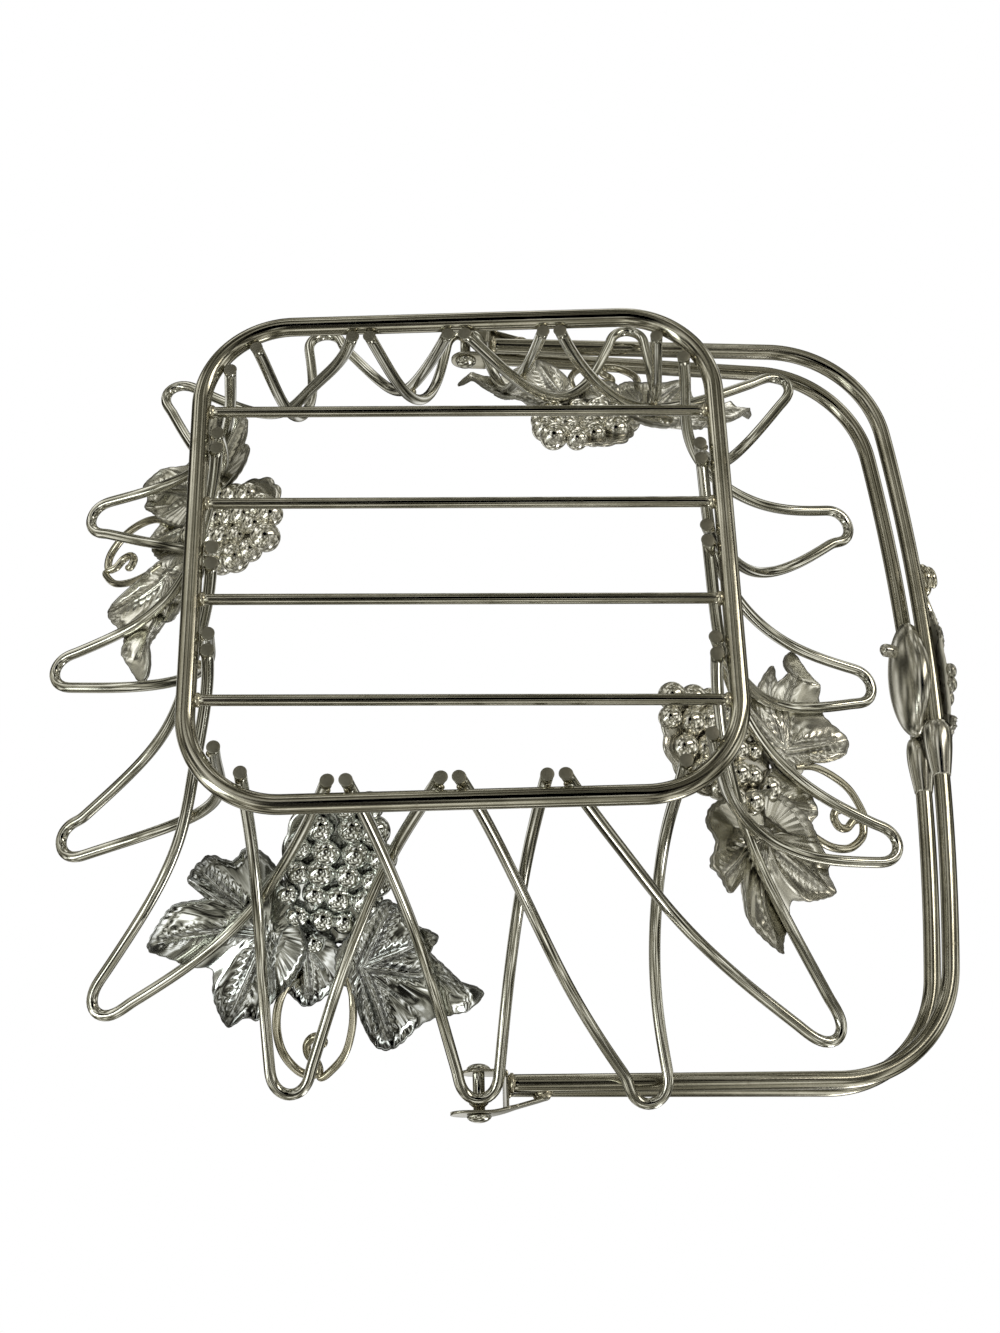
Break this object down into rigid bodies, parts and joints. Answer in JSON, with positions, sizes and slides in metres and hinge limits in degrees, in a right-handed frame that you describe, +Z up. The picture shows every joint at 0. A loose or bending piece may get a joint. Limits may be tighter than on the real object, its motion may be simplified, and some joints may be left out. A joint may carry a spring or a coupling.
{
  "type": "grape basket",
  "caption": "Square open wire basket with a flared wall of bent wire loops, cast vine leaf and grape ornaments, and a swinging double-rod handle.",
  "frame": {"origin": "centre of the bounding box on the surface that the base ring stands on, with the handle folded to +X", "axes": "+X towards the folded handle's bow, +Y towards the near pivot, +Z up"},
  "size_m": [0.3534, 0.326, 0.1594],
  "materials": {
    "wire_silver": "polished silver plate, tarnished",
    "rod_silver": "polished silver plate, tarnished",
    "cast_silver": "bright cast silver plate with dark recesses",
    "tendril_silver": "warm silver plate"
  },
  "bodies": {
    "basket": {"base_ring": "rod_silver", "cross_bar_1": "rod_silver", "cross_bar_2": "rod_silver", "cross_bar_3": "rod_silver", "cross_bar_4": "rod_silver", "wire_loop_01": "wire_silver", "wire_loop_02": "wire_silver", "wire_loop_03": "wire_silver", "wire_loop_04": "wire_silver", "wire_loop_05": "wire_silver", "wire_loop_06": "wire_silver", "wire_loop_07": "wire_silver", "wire_loop_08": "wire_silver", "wire_loop_09": "wire_silver", "wire_loop_10": "wire_silver", "wire_loop_11": "wire_silver", "wire_loop_12": "wire_silver", "wire_loop_13": "wire_silver", "wire_loop_14": "wire_silver", "wire_loop_15": "wire_silver", "wire_loop_16": "wire_silver", "grape_bunch_1": "cast_silver", "leaf_middle_1": "cast_silver", "leaf_corner_1": "cast_silver", "tendril_1": "tendril_silver", "grape_bunch_2": "cast_silver", "leaf_middle_2": "cast_silver", "leaf_corner_2": "cast_silver", "tendril_2": "tendril_silver", "grape_bunch_3": "cast_silver", "leaf_middle_3": "cast_silver", "leaf_corner_3": "cast_silver", "tendril_3": "tendril_silver", "grape_bunch_4": "cast_silver", "leaf_middle_4": "cast_silver", "leaf_corner_4": "cast_silver", "tendril_4": "tendril_silver", "pivot_pin_near": "rod_silver", "pivot_pin_far": "rod_silver"},
    "handle": {"handle_rod_lower": "rod_silver", "handle_rod_upper": "rod_silver", "bracket_near": "rod_silver", "bracket_far": "rod_silver", "crest_shell": "cast_silver", "crest_grape_bunch": "cast_silver", "crest_leaf_1": "cast_silver", "crest_leaf_2": "cast_silver", "crest_tendril": "tendril_silver"}
  },
  "joints": [
    {"name": "handle_swing", "type": "hinge", "parent": "basket", "child": "handle", "pos_m": [-0.01597, 0, 0.1186], "axis": [0, -1, 0], "range_deg": [0, 165]}
  ]
}
